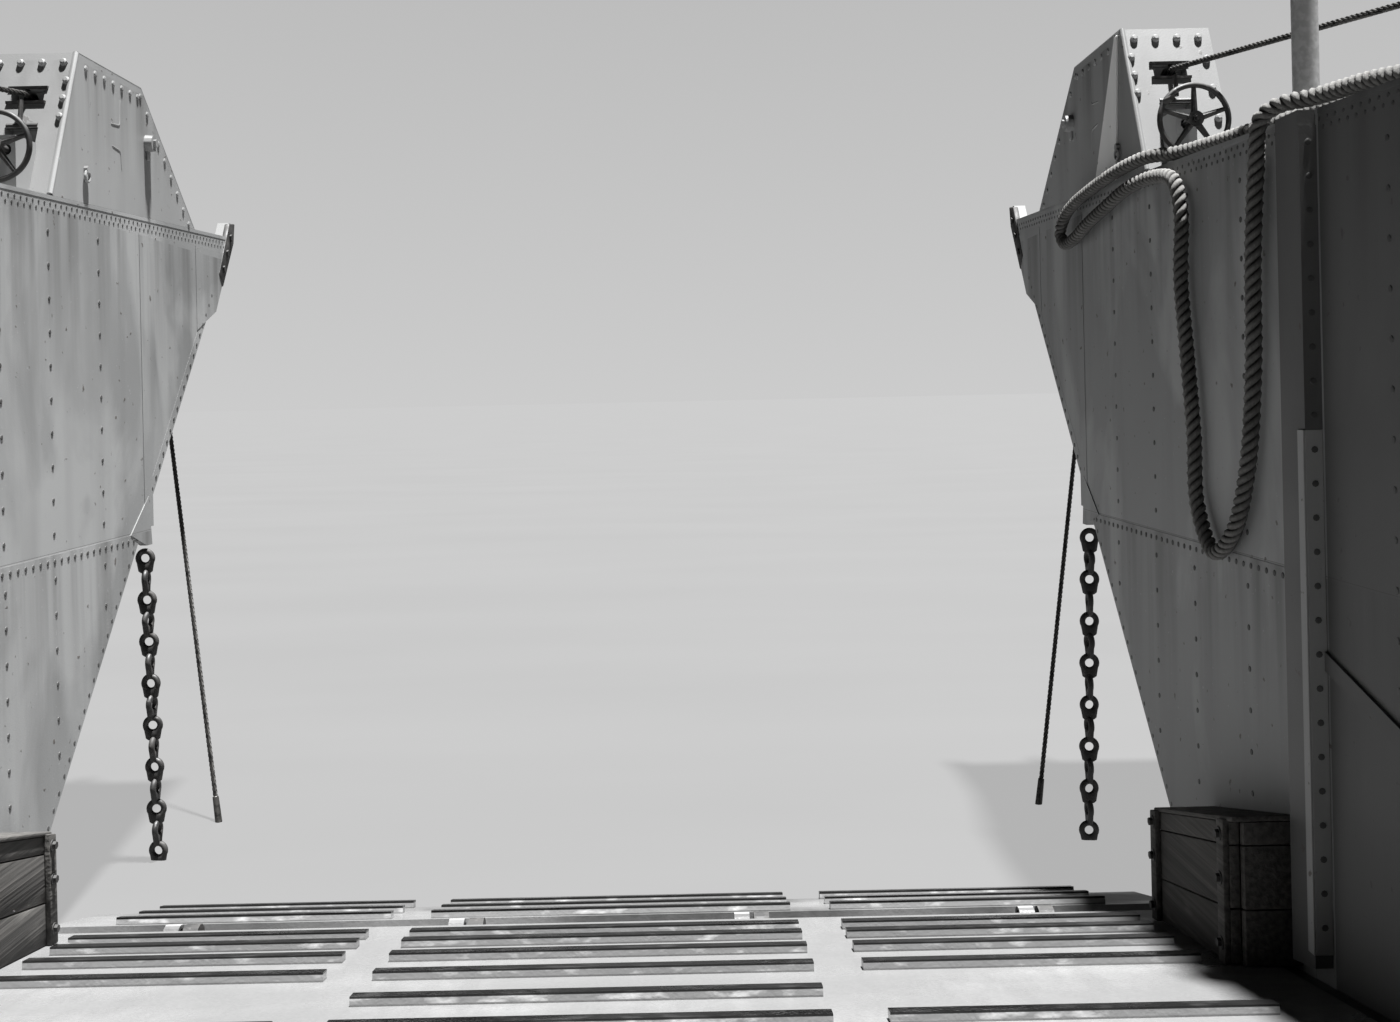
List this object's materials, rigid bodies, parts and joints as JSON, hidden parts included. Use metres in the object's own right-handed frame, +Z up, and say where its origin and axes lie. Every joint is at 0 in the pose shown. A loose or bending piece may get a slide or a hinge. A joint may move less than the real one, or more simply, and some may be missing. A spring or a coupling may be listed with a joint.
{
  "type": "military landing craft, 1:2 scale model",
  "caption": "Flat-bottomed tank landing craft at half size, with an open well, a hinged bow ramp on stay chains, and a stern deckhouse and bridge.",
  "frame": {"origin": "on the flat bottom, on the centreline, at mid-length of the craft with its ramp down", "axes": "+Y to the bow and its ramp, +X to starboard, +Z up"},
  "size_m": [4.725, 29.9556, 6.2259],
  "materials": {
    "hull_paint": "matt grey paint on riveted plate, streaked and worn",
    "deck_paint": "worn and dusty deck paint on steel plate",
    "house_paint": "lighter matt grey paint",
    "ramp_paint": "scraped paint and bare steel, wet towards its end",
    "dark_iron": "tarred and rusted iron fittings",
    "wire_rope": "greased steel wire rope",
    "timber": "dark weathered planks",
    "bronze": "dull cast bronze",
    "engine_grey": "engine enamel",
    "hemp": "weathered three-strand rope",
    "float_canvas": "painted canvas over a float ring"
  },
  "bodies": {
    "craft": {"bottom_hull_forward": "hull_paint", "bottom_hull_middle": "hull_paint", "stern_hull": "hull_paint", "engine_port": "engine_grey", "engine_starboard": "engine_grey", "bow_wing_port": "hull_paint", "bow_wing_starboard": "hull_paint", "wall_pillar_port": "hull_paint", "wall_pillar_starboard": "hull_paint", "side_post_port": "hull_paint", "side_post_starboard": "hull_paint", "side_wing_port": "hull_paint", "side_wing_starboard": "hull_paint", "bow_deck": "deck_paint", "tank_deck": "deck_paint", "ramp_hinge": "dark_iron", "winch_house_port": "house_paint", "winch_house_starboard": "house_paint", "head_sheave_port": "dark_iron", "head_sheave_starboard": "dark_iron", "lift_wire_port": "wire_rope", "lift_wire_starboard": "wire_rope", "ramp_winch_port": "dark_iron", "ramp_winch_starboard": "dark_iron", "stay_chain_port": "dark_iron", "stay_chain_starboard": "dark_iron", "timber_box_port": "timber", "timber_box_starboard": "timber", "hawser": "hemp", "hawser_eye_fore": "hemp", "hawser_eye_aft": "hemp", "quarterdeck": "deck_paint", "deckhouse_front": "house_paint", "deckhouse_port": "house_paint", "deckhouse_starboard": "house_paint", "deckhouse_aft": "house_paint", "bridge_deck": "deck_paint", "bridge_ladder": "house_paint", "wheelhouse_walls": "house_paint", "wheelhouse_roof": "deck_paint", "bridge_screen": "house_paint", "funnel": "hull_paint", "mast": "hull_paint", "kedge_winch_frame": "dark_iron", "stern_anchor": "dark_iron", "guard_rail_port": "hull_paint", "guard_rail_starboard": "hull_paint", "life_float_port": "float_canvas", "life_float_starboard": "float_canvas"},
    "ramp": {"ramp": "ramp_paint"},
    "hand wheel port": {"hand_wheel_port": "dark_iron"},
    "hand wheel starboard": {"hand_wheel_starboard": "dark_iron"},
    "propeller port": {"propeller_port": "bronze"},
    "propeller starboard": {"propeller_starboard": "bronze"},
    "rudder port": {"rudder_port": "hull_paint"},
    "rudder starboard": {"rudder_starboard": "hull_paint"},
    "engine hatch lid": {"engine_hatch_lid": "deck_paint"},
    "deckhouse door": {"deckhouse_door": "house_paint"},
    "kedge winch drum": {"kedge_winch_drum": "dark_iron"}
  },
  "joints": [
    {"name": "ramp_hinge", "type": "hinge", "parent": "craft", "child": "ramp", "pos_m": [0, 12.67723, 0.7], "axis": [1, 0, 0], "range_deg": [0, 61.5]},
    {"name": "hand_wheel_port_turn", "type": "hinge", "parent": "craft", "child": "hand wheel port", "pos_m": [-1.435, 12.78223, 2.565], "axis": [0, 1, 0], "continuous": true},
    {"name": "hand_wheel_starboard_turn", "type": "hinge", "parent": "craft", "child": "hand wheel starboard", "pos_m": [1.435, 12.78223, 2.565], "axis": [0, 1, 0], "continuous": true},
    {"name": "propeller_port_turn", "type": "hinge", "parent": "craft", "child": "propeller port", "pos_m": [-0.95, -12.85, 0.36], "axis": [0, 1, 0], "continuous": true},
    {"name": "propeller_starboard_turn", "type": "hinge", "parent": "craft", "child": "propeller starboard", "pos_m": [0.95, -12.85, 0.36], "axis": [0, 1, 0], "continuous": true},
    {"name": "rudder_port_turn", "type": "hinge", "parent": "craft", "child": "rudder port", "pos_m": [-0.95, -13.65, 0.4], "axis": [0, 0, 1], "range_deg": [-35, 35]},
    {"name": "rudder_starboard_turn", "type": "hinge", "parent": "craft", "child": "rudder starboard", "pos_m": [0.95, -13.65, 0.4], "axis": [0, 0, 1], "range_deg": [-35, 35]},
    {"name": "engine_hatch_hinge", "type": "hinge", "parent": "craft", "child": "engine hatch lid", "pos_m": [0, -11.43, 2.16], "axis": [-1, 0, 0], "range_deg": [0, 105]},
    {"name": "deckhouse_door_hinge", "type": "hinge", "parent": "craft", "child": "deckhouse door", "pos_m": [0.375, -10.815, 2.5], "axis": [0, 0, -1], "range_deg": [0, 110]},
    {"name": "kedge_winch_turn", "type": "hinge", "parent": "craft", "child": "kedge winch drum", "pos_m": [0, -13.7, 2.37], "axis": [1, 0, 0], "continuous": true}
  ]
}
